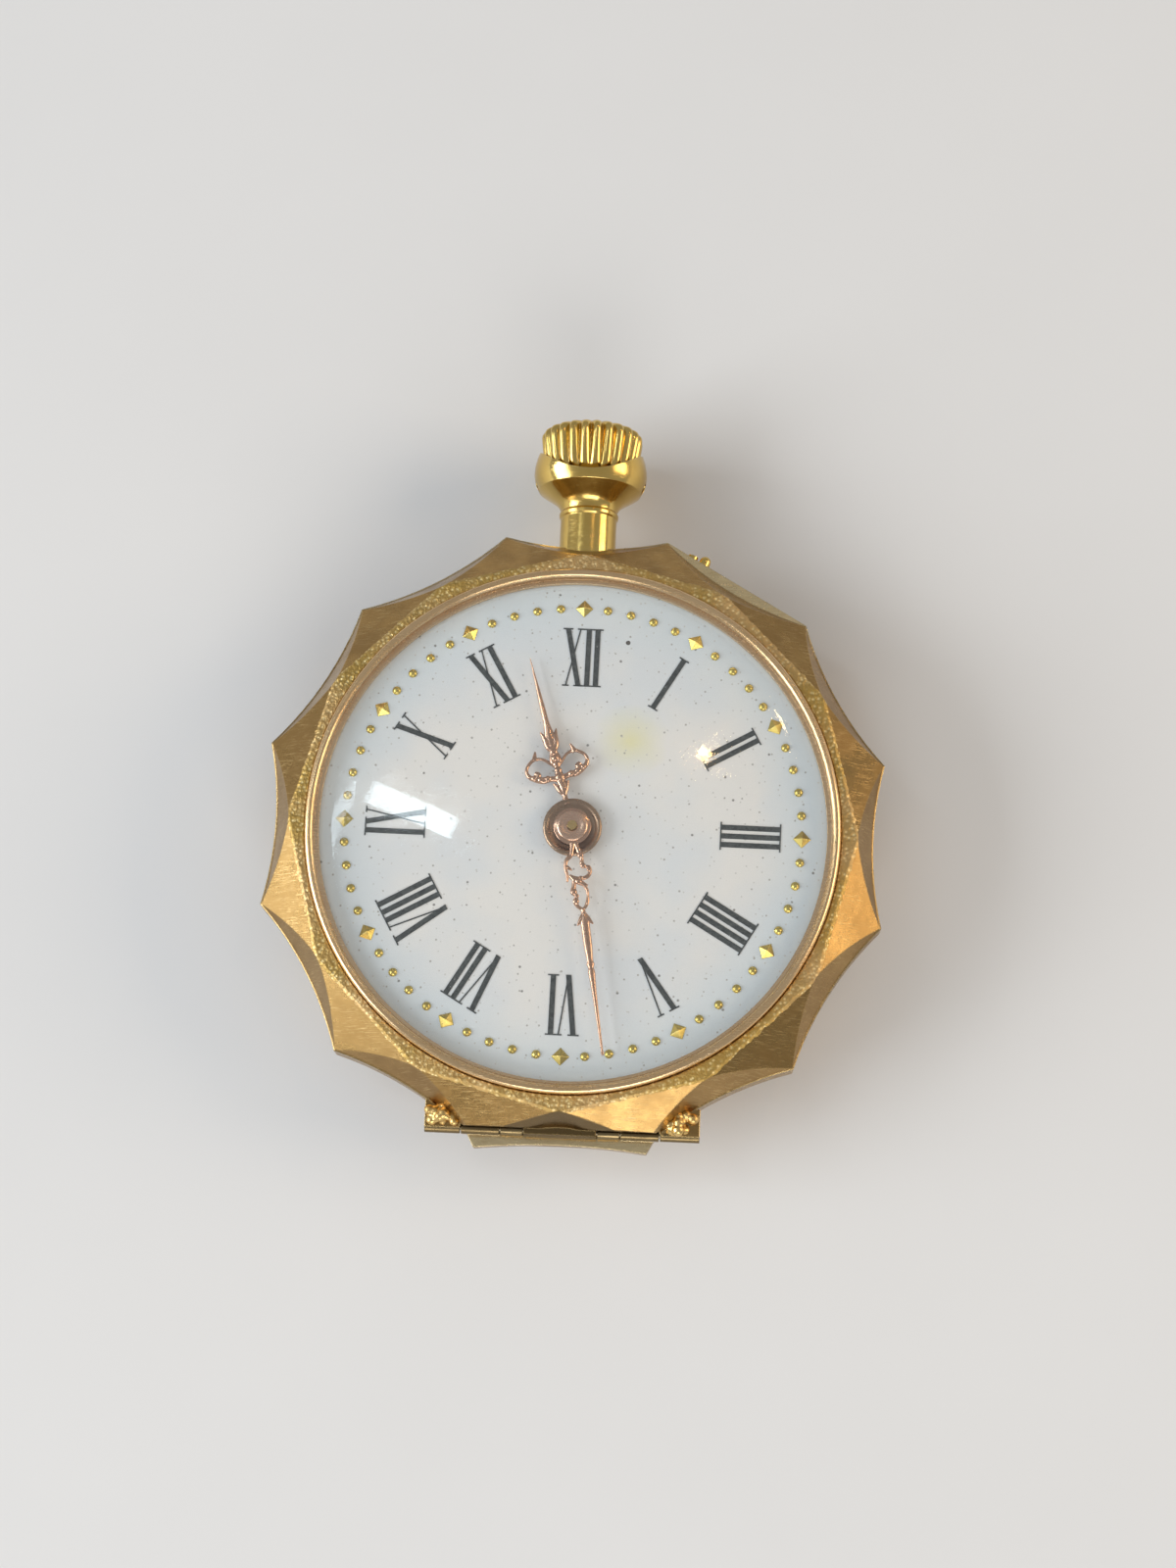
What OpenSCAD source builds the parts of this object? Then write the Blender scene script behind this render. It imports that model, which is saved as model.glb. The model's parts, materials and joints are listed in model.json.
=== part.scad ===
// Open-faced fob watch: twelve-cornered gold case, enamel dial, pin-set keyless work, bar movement.
// Millimetres. Origin at the centre of the flat back, +Z out through the dial, +Y to the crown.

/* [Case] */
// Dial axis to a case corner
corner_r = 16.5; // [15:0.1:18]
// Dial axis to a vertex of the twelve-sided frosted band
plateau_r = 14.5; // [13.8:0.1:15]
// Height of one faceted bevel
bevel_h = 1.97; // [1:0.01:2.5]
// Radius of the hollow between two corners, in plan
flank_r = 18.27; // [12:0.01:40]
// Radius of the tilted scoops
scoop_r = 20; // [12:1:40]
// Radius of the bore that takes movement and dial
bore_r = 13.25; // [13:0.01:13.5]
// Rise of the crystal
crystal_rise = 2.2; // [1:0.1:3]

/* [Pendant and crown] */
// Height of the winding axis
stem_z = 3.9; // [3.6:0.1:4.5]
// Neck radius
neck_r = 1.49; // [1:0.01:2]
// Widest crown radius
crown_r = 2.7; // [2:0.05:3.5]
// Flutes on the crown
flutes = 24; // [16:1:36]
// Bow socket radius
bow_hole_r = 0.35; // [0.2:0.05:0.5]

/* [Hinge] */
// Distance of the hinge axis below the dial axis
hinge_y = 15.25; // [15:0.01:15.5]
// Hinge axis height
hinge_z = 4.5; // [4:0.1:5]
// Knuckle radius
knuckle_r = 0.3; // [0.25:0.01:0.5]
// Hinge pin radius
pin_r = 0.13; // [0.1:0.01:0.2]

/* [Dial and hands] */
// Minute ring radius
minute_r = 11.7; // [10:0.05:12]
// Dial turned in its case, degrees clockwise
dial_turn = 0.44; // [0:0.01:2]
// Hour hand, degrees clockwise from twelve
hour_angle = -16.3; // [-180:0.1:180]
// Minute hand, degrees clockwise from twelve
minute_angle = 170; // [-180:0.1:180]

/* [Movement] */
// Main plate radius
plate_r = 13; // [12:0.05:13.2]
// Balance rim radius
balance_r = 3.4; // [3:0.05:4]

/* [Hidden] */
$fn = 96;

gap = 0.03;
corner_in = corner_r * cos(15);
corner_half = corner_r * sin(15);
flank_c = corner_in + sqrt(pow(flank_r, 2) - pow(corner_half, 2));
flank_v = flank_c - flank_r;
ledge = 0.05;
scoop_tilt = atan((flank_v - ledge - plateau_r) / bevel_h);
low_corner_z = 3.3;
cover_top = 4.02;
band_bottom = 4.1;
high_corner_z = 4.9;
plateau_z = high_corner_z + bevel_h;
low_plateau_z = low_corner_z - bevel_h;
back_flat_r = 6;
back_dome_r = 13.9;
back_c = (pow(back_dome_r, 2) + pow(low_plateau_z, 2) - pow(back_flat_r, 2)) / (2 * low_plateau_z);
back_sphere = sqrt(pow(back_flat_r, 2) + pow(back_c, 2));
ring_r = 14.2;
spigot_z = 2.6;
hinge_ends = [-6.85, 7.05];
centre_knuckle = 1.83;
cuvette_knuckle = [1.9, 3.0];
cover_knuckle = [3.07, 5.0];
end_knuckle = 5.07;
dial_low = 5.65;
dial_top = 6.4;
dial_r = 13.15;
bezel_out = 13.65;
bezel_lip = 12.97;
crystal_r = 13.18;
crystal_t = 0.6;
crystal_z = 6.75;
crystal_cap_z = 7.5;
crystal_sphere = (pow(crystal_r, 2) + pow(crystal_rise, 2)) / (2 * crystal_rise);
crystal_c = crystal_cap_z + crystal_rise - crystal_sphere;
saddle_r = 3.25;
saddle_y = 22.55;
bow_y = 19.75;
pusher_a = 22.6;
guard_a = pusher_a - 2.4;
guard_r = 0.27;
guard_in = 15.6;
guard_out = 16.35;
pusher_out = 16.3;
lip_a = 30;
ledge_out = 16.15;
ledge_sweep_r = 36.6;
ledge_sag = 0.25;
arch_c = 20.06;
pusher_r = 0.3;
plate_low = 4.45;
plate_top = 5.05;
bar_low = 2.66;
bar_top = 3.1;
barrel_p = [-3.4, 3.83];
crown_wheel_p = [0, 8];
third_p = [4.077, 0.719];
fourth_p = [3.305, -2.592];
escape_p = [2.105, -5.127];
balance_p = [0.595, -6.107];
minute_p = [0.8, 2.263];
setting_p = [0.1, 6.302];
lever_p = [6.2, 8.4];
click_p = [-8.0, 4.3];
centre_foot = [-9.7, -2.3];
train_foot = [10.0, -1.6];
escape_foot = [6.3, -8.7];
cock_foot = [-5.3, -8.7];
bridge_feet = [[-8.6, 8.2], [4.6, 6.2]];
m_winding = 0.1537;
m_train = [0.125, 0.115, 0.1, 0.085];
m_motion = 0.1;
hour_z = 6.72;
minute_z = 7.0;
hand_t = 0.13;
gold = "gold";
steel = "lightsteelblue";

function cpos(r, a) = [r * sin(a), r * cos(a)];
function dirn(p, q) = atan2(q[1] - p[1], q[0] - p[0]);
function mate(phi, ph, n1, n2) = phi + 180 - (ph - phi) * n1 / n2 + 180 / n2;

// One toothed outline: n teeth at module m, first tooth at angle ph.
module toothed(n, m, ph = 0, add = 0.75, ded = 0.95) {
  tip = m * n / 2 + add * m;
  root = m * n / 2 - ded * m;
  w = 90 / n;
  polygon([for (k = [0:n - 1]) for (q = [[root, -1.1], [tip, -0.5], [tip, 0.5], [root, 1.1]])
    [q[0] * cos(ph + 360 * k / n + q[1] * w), q[0] * sin(ph + 360 * k / n + q[1] * w)]]);
}
module disc(p, r, z0, z1) translate([p[0], p[1], z0]) cylinder(h = z1 - z0, r = r);
module box(x0, x1, y0, y1, z0, z1) translate([x0, y0, z0]) cube([x1 - x0, y1 - y0, z1 - z0]);
// A straight bar between two points with square ends
module bar(p, q, w, z0, z1)
  translate([p[0], p[1], z0]) rotate(dirn(p, q))
    translate([0, -w / 2, 0]) cube([norm(q - p), w, z1 - z0]);
// Spoked wheel: toothed rim, spokes and hub
module wheel(n, m, ph, z, t, rim, hub, spokes, hole) {
  r = m * n / 2 - m;
  translate([0, 0, z]) difference() {
    linear_extrude(t) toothed(n, m, ph);
    difference() {
      translate([0, 0, -1]) cylinder(h = t + 2, r = r - rim);
      translate([0, 0, -2]) cylinder(h = t + 4, r = hub);
      for (k = [0:spokes - 1]) rotate(360 * k / spokes)
        translate([0, -rim / 2, -2]) cube([r, rim, t + 4]);
    }
    if (hole > 0) translate([0, 0, -3]) cylinder(h = t + 6, r = hole);
  }
}
module rosette(z0, z1)
  difference() {
    translate([0, 0, z0]) rotate(15) cylinder(h = z1 - z0, r = corner_r, $fn = 12);
    for (k = [0:11]) rotate(30 * k) translate([flank_c, 0, z0 - 1]) cylinder(h = z1 - z0 + 2, r = flank_r);
  }
// Corner facets and scoops, standing on z = 0
module bevel()
  difference() {
    cylinder(h = bevel_h, r1 = (corner_r - ledge) / cos(15), r2 = plateau_r, $fn = 12);
    for (k = [0:11]) rotate(30 * k) translate([flank_v - ledge, 0, 0]) rotate([0, -scoop_tilt, 0])
      translate([scoop_r, 0, -9]) cylinder(h = 18, r = scoop_r);
  }
module along_x(x0, x1, r, y = -hinge_y, z = hinge_z)
  translate([x0, y, z]) rotate([0, 90, 0]) cylinder(h = x1 - x0, r = r);
module along_y(y0, y1, r, z = stem_z)
  translate([0, y0, z]) rotate([-90, 0, 0]) cylinder(h = y1 - y0, r = r);
module radial(a, r0, r1, r, z)
  rotate(-a) translate([0, r0, z]) rotate([-90, 0, 0]) cylinder(h = r1 - r0, r = r);

module case_band() color(gold) {
  difference() {
    union() {
      rosette(band_bottom, high_corner_z);
      rotate(-lip_a) box(-4.2, 4.2, 14.8, 15.93, band_bottom, high_corner_z);
      translate([0, 0, high_corner_z]) bevel();
      rotate_extrude() polygon([[13.0, spigot_z], [13.7, spigot_z], [ring_r, 3.1], [ring_r, 4.6], [13.0, 4.6]]);
    }
    disc([0, 0], bore_r, spigot_z - 1, dial_top + 0.02);
    disc([0, 0], bezel_out + 0.01, dial_top, plateau_z + 1);
    difference() {
      disc([0, 0], 13.72, plateau_z - 0.12, plateau_z + 1);
      disc([0, 0], 13.6, plateau_z - 1, plateau_z + 2);
    }
    box(-7.2, 7.4, -18, -hinge_y + 0.05, band_bottom - 1, 8);
    along_x(-end_knuckle + 0.05, end_knuckle - 0.05, 0.62);
    box(-end_knuckle + 0.05, end_knuckle - 0.05, -18, -14.63, band_bottom - 1, hinge_z);
    along_y(10, 17, neck_r + 0.01);
    radial(pusher_a, 10, 18, pusher_r + 0.04, hinge_z);
    radial(guard_a, guard_in - 0.01, 18, guard_r + 0.01, hinge_z);
    along_x(-8, 8, pin_r + 0.01);
    translate([0, -arch_c, high_corner_z + 0.05]) cylinder(h = 2.5, r1 = 4.86, r2 = 5.75);
    for (a = [100, 280]) rotate(-a) box(-1.1, 1.1, 12, 13.75, spigot_z - 1, 4.44);
  }
  difference() {
    disc([0, 0], bore_r + 0.1, plate_top + 0.03, dial_low - 0.03);
    disc([0, 0], 12.6, plate_top - 1, dial_low + 1);
  }
  difference() {
    union() {
      along_x(-centre_knuckle, centre_knuckle, knuckle_r + 0.03);
      box(-centre_knuckle, centre_knuckle, -15.5, -14.5, hinge_z, 5.2);
      for (s = [[hinge_ends[0], -end_knuckle], [end_knuckle, hinge_ends[1]]]) {
        along_x(s[0], s[1], knuckle_r);
        box(s[0], s[1], -15.3, -13.9, 4.2, 4.9);
      }
    }
    along_x(-8, 8, pin_r + 0.01);
    disc([0, 0], bore_r + 0.2, 4, 6);
  }
}
module pendant() color(gold)
  difference() {
    translate([0, 0, stem_z]) rotate([-90, 0, 0]) rotate_extrude() polygon([
      [0.56, 13.35], [neck_r, 13.35], [neck_r, 17.3], [1.56, 17.4], [1.58, 17.55], [1.5, 17.7],
      [1.54, 17.85], [1.63, 18.02], [1.8, 18.22], [2.2, 18.5], [2.72, 18.85], [2.92, 19.25],
      [3.0, 19.7], [2.98, 20.1], [2.9, 20.5], [2.78, 20.85], [2.74, 21], [2.74, 19.35],
      [0.56, 19.35]]);
    translate([0, saddle_y, stem_z - 5]) cylinder(h = 10, r = saddle_r);
    for (s = [-1, 1]) translate([s * 2.05, bow_y - 0.55, stem_z]) rotate([0, s * 90, 0]) cylinder(h = 2, r = bow_hole_r);
    disc([0, 0], bore_r + 0.1, 0, 8);
  }
module bezel_ring() color("goldenrod")
  rotate_extrude() polygon(concat([[bezel_lip, dial_top + 0.04], [bezel_out, dial_top + 0.04]],
    [for (t = [0:15:180]) [13.43 + 0.22 * cos(t), 7.08 + 0.22 * sin(t)]],
    [[crystal_r + 0.02, crystal_z - 0.03], [bezel_lip, crystal_z - 0.03]]));
module crystal() color("white", 0.35)
  difference() {
    union() {
      disc([0, 0], crystal_r, crystal_z, crystal_cap_z);
      intersection() {
        translate([0, 0, crystal_c]) sphere(r = crystal_sphere);
        disc([0, 0], crystal_r, crystal_cap_z - 0.01, 12);
      }
    }
    disc([0, 0], crystal_r - crystal_t, crystal_z - 1, crystal_cap_z - 0.3);
    intersection() {
      translate([0, 0, crystal_c]) sphere(r = crystal_sphere - crystal_t);
      disc([0, 0], crystal_r - crystal_t, crystal_cap_z - 0.31, 12);
    }
  }
module solder_lumps() color(gold)
  for (b = [[-6.55, -14.55, 5.05, 0.5], [-6.0, -14.75, 5.15, 0.55], [-5.5, -15.0, 5.1, 0.42],
            [-6.4, -14.1, 5.35, 0.4], [6.7, -14.85, 5.0, 0.5], [6.1, -14.6, 5.2, 0.55],
            [5.6, -14.9, 5.2, 0.42], [6.0, -14.1, 5.5, 0.36]])
    translate([b[0], b[1], b[2]]) sphere(r = b[3], $fn = 10);
module hinge_pin() color(steel) along_x(hinge_ends[0] + 0.1, hinge_ends[1] - 0.1, pin_r);
module pusher_guard() color(gold) radial(guard_a, guard_in, guard_out, guard_r, hinge_z);

module back_cover() color(gold)
  difference() {
    union() {
      rosette(low_corner_z, cover_top);
      translate([0, 0, low_corner_z]) mirror([0, 0, 1]) bevel();
      difference() {
        translate([0, 0, low_corner_z]) linear_extrude(cover_top - low_corner_z)
          polygon([[-4.95, -15.1], [-4.4, -ledge_out], [4.4, -ledge_out], [4.95, -15.1]]);
        translate([0, -ledge_out + ledge_sag - ledge_sweep_r, 0]) cylinder(h = 8, r = ledge_sweep_r);
      }
      rotate_extrude() polygon(concat([[0, 0.2], [0, 0], [back_flat_r, 0]],
        [for (r = [7:1:13]) [r, back_c - sqrt(pow(back_sphere, 2) - r * r)]],
        [[back_dome_r - 0.06, low_plateau_z + 0.05], [back_dome_r - 1, low_plateau_z + 0.1]]));
      for (s = [-1, 1]) {
        x = s > 0 ? cover_knuckle[0] : -cover_knuckle[1];
        along_x(x, x + cover_knuckle[1] - cover_knuckle[0], knuckle_r);
        box(x, x + cover_knuckle[1] - cover_knuckle[0], -15.5, -15.0, 3.8, hinge_z);
      }
    }
    rotate_extrude() polygon([[0, 0.5], [back_flat_r, 0.5], [13.1, 1.62], [14.78, 2.68], [14.78, 4.1], [0, 4.1]]);
    along_x(-8, 8, pin_r + 0.03);
    for (s = [-1, 1]) box(s * 2.45 - 0.6, s * 2.45 + 0.6, -15.45, -14, 3.55, 5);
    along_y(13, 18, neck_r + 0.12);
    box(-neck_r - 0.1, neck_r + 0.1, 13, 18, stem_z, 5);
  }
module cuvette() color("goldenrod")
  difference() {
    union() {
      rotate_extrude() polygon([[0, 1.75], [13.0, 1.75], [14.6, 2.75], [14.6, 3.95], [14.32, 3.95],
        [14.32, 2.9], [12.95, 2.02], [0, 2.02]]);
      for (s = [-1, 1]) {
        x = s > 0 ? cuvette_knuckle[0] : -cuvette_knuckle[1];
        w = cuvette_knuckle[1] - cuvette_knuckle[0];
        along_x(x, x + w, knuckle_r);
        box(x, x + w, -15.35, -14.35, 3.68, 3.95);
        box(x, x + w, -15.4, -15.1, 3.68, hinge_z);
      }
    }
    along_x(-8, 8, pin_r + 0.03);
    along_y(13, 18, neck_r + 0.12);
    box(-neck_r - 0.1, neck_r + 0.1, 13, 18, stem_z, 5);
  }

module pusher() color(gold) {
  radial(pusher_a, 12.8, pusher_out, pusher_r, hinge_z);
  rotate(-pusher_a) translate([0, pusher_out, hinge_z]) sphere(r = pusher_r);
}
module crown() color(gold)
  difference() {
    translate([0, 0, stem_z]) rotate([-90, 0, 0]) rotate_extrude() polygon([
      [0, 19.45], [2.2, 19.45], [2.45, 19.9], [2.58, 20.4], [2.66, 21.1], [crown_r, 21.65],
      [2.62, 21.98], [2.4, 22.17], [1.95, 22.27], [1.2, 22.31], [0, 22.32]]);
    for (k = [0:flutes - 1]) translate([0, 0, stem_z]) rotate([0, 360 * k / flutes, 0])
      translate([0, 19, crown_r + 0.06]) rotate([-86, 0, 0]) cylinder(h = 4.5, r = 0.24, $fn = 24);
    along_y(19, 21, 0.46);
  }
module stem() color(steel) along_y(8.4, 20.95, 0.45);
module winding_pinion() color(steel)
  difference() {
    translate([0, 10.95, stem_z]) rotate([90, 0, 0]) linear_extrude(0.78) toothed(17, m_winding, -90, 0.7, 0.9);
    along_y(9, 12, 0.46);
  }
module clutch_pinion() color(steel)
  difference() {
    along_y(8.9, 10.1, 0.75);
    difference() {
      along_y(9.05, 9.55, 2);
      along_y(9, 10, 0.53);
    }
    along_y(8, 11, 0.47);
  }
module setting_lever() color(steel)
  difference() {
    union() {
      disc(lever_p, 0.65, 4.0, 4.38);
      bar(lever_p, cpos(12.25, pusher_a), 0.6, 4.0, 4.38);
      disc(cpos(12.2, pusher_a), 0.45, 4.0, 4.38);
      bar(lever_p, [0.62, 9.35], 0.26, 4.0, 4.3);
    }
    disc(lever_p, 0.3, 3, 5);
  }
crown_phase = 90 + 180 / 30;
ratchet_phase = mate(dirn(crown_wheel_p, barrel_p), crown_phase, 30, 40);
module crown_wheel() color(steel)
  translate([crown_wheel_p[0], crown_wheel_p[1], 2.3]) difference() {
    linear_extrude(0.3) toothed(30, m_winding, crown_phase, 0.7, 0.9);
    translate([0, 0, -1]) cylinder(h = 3, r = 1.0);
  }
module crown_wheel_core() color(steel)
  difference() {
    union() {
      disc(crown_wheel_p, 0.97, 2.3, 2.64);
      disc(crown_wheel_p, 1.35, 2.12, 2.28);
    }
    translate([crown_wheel_p[0] - 2, crown_wheel_p[1] - 0.09, 2]) cube([4, 0.18, 0.2]);
  }
module ratchet_wheel() color(steel)
  translate([barrel_p[0], barrel_p[1], 2.3]) difference() {
    linear_extrude(0.3) toothed(40, m_winding, ratchet_phase, 0.7, 0.9);
    translate([-0.45, -0.45, -1]) cube([0.9, 0.9, 3]);
  }
module ratchet_screw() color("royalblue")
  difference() {
    disc(barrel_p, 0.8, 2.12, 2.28);
    translate([barrel_p[0] - 1, barrel_p[1] - 0.09, 2]) cube([2, 0.18, 0.2]);
  }
module barrel_arbor() color(steel) {
  translate([barrel_p[0] - 0.44, barrel_p[1] - 0.44, 2.29]) cube([0.88, 0.88, 0.35]);
  disc(barrel_p, 0.6, 2.64, 3.5);
  disc(barrel_p, 0.95, 3.62, 4.2);
  disc(barrel_p, 0.4, 3.4, 4.8);
}
barrel_phase = 0;
module barrel_drum() color("goldenrod")
  translate([barrel_p[0], barrel_p[1], 0]) difference() {
    union() {
      translate([0, 0, 3.58]) cylinder(h = 0.8, r = 4.28);
      translate([0, 0, 4.16]) linear_extrude(0.22) toothed(72, m_train[0], barrel_phase);
    }
    translate([0, 0, 3.5]) cylinder(h = 0.74, r = 4.05);
    translate([0, 0, 3]) cylinder(h = 2, r = 0.43);
  }
module barrel_cover() color("goldenrod")
  difference() {
    union() {
      disc(barrel_p, 4.28, 3.46, 3.57);
      disc(barrel_p, 4.03, 3.46, 3.61);
    }
    disc(barrel_p, 0.64, 3, 4);
  }
// Coiled strip: half rings of growing radius joined end to end
module coil(p, z, t, r0, pitch, turns, w)
  for (k = [0:2 * turns - 1]) {
    r = r0 + pitch * k / 2;
    translate([p[0] + (k % 2 == 0 ? 0 : -pitch / 2), p[1], z])
      rotate(k % 2 == 0 ? 0 : 180) rotate_extrude(angle = 180) translate([r, 0]) square([w, t]);
  }
module mainspring() color(steel) coil(barrel_p, 3.66, 0.52, 2.2, 0.28, 6, 0.12);
module click() color(steel)
  difference() {
    union() {
      disc(click_p, 0.5, 2.3, 2.6);
      bar(click_p, [-6.62, 4.62], 0.42, 2.3, 2.6);
    }
    disc(click_p, 0.24, 2, 3);
  }
module click_spring() color(steel) {
  bar([-8.1, 7.0], [-7.35, 4.98], 0.16, 2.3, 2.55);
  disc([-8.1, 7.0], 0.4, 2.3, 2.55);
}

train_z = [4.16, 3.2, 4.15, 3.86, 3.65];
module main_plate() color("gold")
  difference() {
    union() {
      disc([0, 0], plate_r, plate_low, plate_top);
      disc(minute_p, 0.22, plate_top - 0.1, 5.6);
      disc(setting_p, 0.22, plate_top - 0.1, 5.4);
      disc(lever_p, 0.27, 3.9, plate_low + 0.1);
    }
    disc([0, 0], 0.32, 4, 6);
    disc(barrel_p, 0.42, 4, 6);
    for (p = [third_p, fourth_p, escape_p, balance_p]) disc(p, 0.46, 4, 6);
    box(-0.9, 0.9, 7.5, 10.1, 4, 6);
    box(-1.6, 1.6, 9.98, 11.15, 4, 6);
    along_y(11, 14, 0.5);
    rotate(-pusher_a) box(-0.6, 0.6, 11.3, 14, 4, 4.9);
    for (a = [60, 185, 300]) disc(cpos(11.6, a), 0.4, 4, 6);
  }
module foot(p, r, z0) disc(p, r, z0, plate_low - 0.01);
module bore(p, r) disc(p, r, 1, 4.4);
module barrel_bridge() color(gold)
  difference() {
    union() {
      disc(barrel_p, 2.6, bar_low, bar_top);
      disc(crown_wheel_p, 2.0, bar_low, bar_top);
      bar(barrel_p, crown_wheel_p, 3.4, bar_low, bar_top);
      bar(barrel_p, bridge_feet[0], 2.2, bar_low, bar_top);
      bar(crown_wheel_p, bridge_feet[1], 1.4, bar_low, bar_top);
      bar(barrel_p, click_p, 1.6, bar_low, bar_top);
      disc(click_p, 0.95, bar_low, bar_top);
      disc(click_p, 0.22, 2.25, bar_top);
      foot(bridge_feet[0], 1.3, bar_low);
      foot(bridge_feet[1], 0.85, bar_low);
    }
    bore(barrel_p, 0.63);
    for (p = bridge_feet) bore(p, 0.42);
    box(-1.6, 1.6, 9.95, 11, 1, 4.4);
  }
module finger(p, q, w, z0, z1, foot_r)
  difference() {
    union() {
      bar(p, q, w, z0, z1);
      disc(p, w / 2 + 0.1, z0, z1);
      foot(q, foot_r, z0);
    }
    disc(p, 0.46, 1, 4.4);
    bore(q, 0.42);
  }
module centre_bridge() color(gold) finger([0, 0], centre_foot, 1.5, bar_low, bar_top, 1.1);
module train_bridge() color(gold)
  difference() {
    union() {
      bar(third_p, train_foot, 1.3, bar_low, bar_top);
      bar(fourth_p, train_foot, 1.1, bar_low, bar_top);
      disc(third_p, 0.75, bar_low, bar_top);
      disc(fourth_p, 0.7, bar_low, bar_top);
      foot(train_foot, 1.1, bar_low);
    }
    disc(third_p, 0.46, 1, 4.4);
    disc(fourth_p, 0.46, 1, 4.4);
    bore(train_foot, 0.42);
  }
module escape_cock() color(gold) finger(escape_p, escape_foot, 1.0, 3.25, 3.52, 0.9);
module balance_cock() color(gold)
  difference() {
    union() {
      disc(balance_p, 1.35, 2.27, 2.55);
      bar(balance_p, cock_foot, 1.7, 2.27, 2.55);
      foot(cock_foot, 1.15, 2.27);
    }
    disc(balance_p, 0.46, 1, 4.4);
    bore(cock_foot, 0.42);
  }
module jewel(p, z0, z1) color("crimson")
  difference() {
    disc(p, 0.45, z0, z1);
    disc(p, 0.13, z0 - 1, z1 + 1);
  }
module jewels() {
  jewel([0, 0], bar_low, bar_low + 0.3);
  for (p = [third_p, fourth_p]) jewel(p, bar_low, bar_low + 0.3);
  jewel(escape_p, 3.25, 3.5);
  jewel(balance_p, 2.3, 2.53);
  for (p = [third_p, fourth_p, escape_p, balance_p]) jewel(p, 4.6, 4.9);
}
module screw(p, z, head, depth) color("royalblue")
  difference() {
    union() {
      disc(p, head, z - 0.2, z - 0.01);
      disc(p, 0.4, z - 0.1, z + depth);
    }
    translate([p[0], p[1], z - 0.25]) rotate(37 * p[0]) translate([-2, -0.08, 0]) cube([4, 0.16, 0.16]);
  }
module bridge_screws() {
  for (p = [bridge_feet[0], bridge_feet[1], centre_foot, train_foot]) screw(p, bar_low, 0.65, 1.7);
  screw(escape_foot, 3.25, 0.6, 1.1);
  screw(cock_foot, 2.27, 0.65, 2.1);
}
module case_screws() for (a = [100, 280]) screw(cpos(12.4, a), plate_low, 0.95, -0.02);

centre_phase = dirn([0, 0], third_p);
module centre_wheel() color("goldenrod") {
  wheel(64, m_train[1], centre_phase, train_z[1], 0.15, 0.35, 0.7, 4, 0);
  translate([0, 0, 4.02]) linear_extrude(0.38)
    toothed(10, m_train[0], mate(dirn(barrel_p, [0, 0]), barrel_phase, 72, 10));
  disc([0, 0], 0.3, 3.0, 5.0);
  disc([0, 0], 0.24, 2.98, 7.42);
  disc([0, 0], 0.11, 2.7, 3.0);
}
third_pinion = mate(centre_phase, centre_phase, 64, 8);
module third_wheel() color("goldenrod") translate([third_p[0], third_p[1], 0]) {
  wheel(60, m_train[2], dirn(third_p, fourth_p), train_z[2], 0.13, 0.3, 0.55, 4, 0);
  translate([0, 0, 3.14]) linear_extrude(0.32) toothed(8, m_train[1], third_pinion);
  disc([0, 0], 0.22, 3.0, 4.4);
  disc([0, 0], 0.11, 2.7, 4.88);
}
module fourth_wheel() color("goldenrod") translate([fourth_p[0], fourth_p[1], 0]) {
  wheel(60, m_train[3], dirn(fourth_p, escape_p), train_z[3], 0.12, 0.28, 0.5, 4, 0);
  translate([0, 0, 4.02]) linear_extrude(0.36)
    toothed(8, m_train[2], mate(dirn(third_p, fourth_p), dirn(third_p, fourth_p), 60, 8));
  disc([0, 0], 0.2, 3.15, 4.4);
  disc([0, 0], 0.11, 2.7, 4.88);
}
module escape_wheel() color(steel) translate([escape_p[0], escape_p[1], 0]) {
  translate([0, 0, train_z[4]]) {
    difference() {
      cylinder(h = 0.1, r = 1.3);
      difference() {
        translate([0, 0, -1]) cylinder(h = 3, r = 1.1);
        translate([0, 0, -2]) cylinder(h = 5, r = 0.42);
        for (k = [0:2]) rotate(120 * k + 20) translate([0, -0.12, -2]) cube([1.2, 0.24, 5]);
      }
    }
    for (k = [0:14]) rotate(24 * k + 213 + 12) {
      translate([1.2, -0.06, 0]) cube([0.42, 0.12, 0.1]);
      linear_extrude(0.16) polygon([[1.5, -0.1], [1.86, -0.12], [1.66, 0.2], [1.5, 0.16]]);
    }
  }
  translate([0, 0, 3.78]) linear_extrude(0.3)
    toothed(6, m_train[3], mate(dirn(fourth_p, escape_p), dirn(fourth_p, escape_p), 60, 6), 0.7, 0.85);
  disc([0, 0], 0.15, 3.55, 4.4);
  disc([0, 0], 0.11, 3.28, 4.88);
}
module balance_wheel() color("goldenrod") translate([balance_p[0], balance_p[1], 2.85])
  difference() {
    cylinder(h = 0.3, r = balance_r);
    difference() {
      translate([0, 0, -1]) cylinder(h = 2, r = balance_r - 0.35);
      translate([0, 0, -2]) cylinder(h = 4, r = 0.62);
      for (k = [0:2]) rotate(120 * k + 35) translate([0, -0.17, -2]) cube([balance_r, 0.34, 4]);
    }
    translate([0, 0, -3]) cylinder(h = 6, r = 0.26);
  }
module balance_cylinder() color(steel) {
  disc(balance_p, 0.25, 2.75, 3.5);
  disc(balance_p, 0.11, 2.34, 4.88);
  difference() {
    disc(balance_p, 0.25, 3.45, 4.35);
    disc(balance_p, 0.18, 3.56, 4.2);
    translate([balance_p[0], balance_p[1], 3.6]) rotate(33) translate([0.02, -1, 0]) cube([1, 2, 0.3]);
  }
}
module hairspring() color("royalblue") {
  coil(balance_p, 2.62, 0.1, 0.5, 0.2, 6, 0.05);
  difference() {
    disc(balance_p, 0.54, 2.6, 2.74);
    disc(balance_p, 0.27, 2, 3);
  }
}
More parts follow.
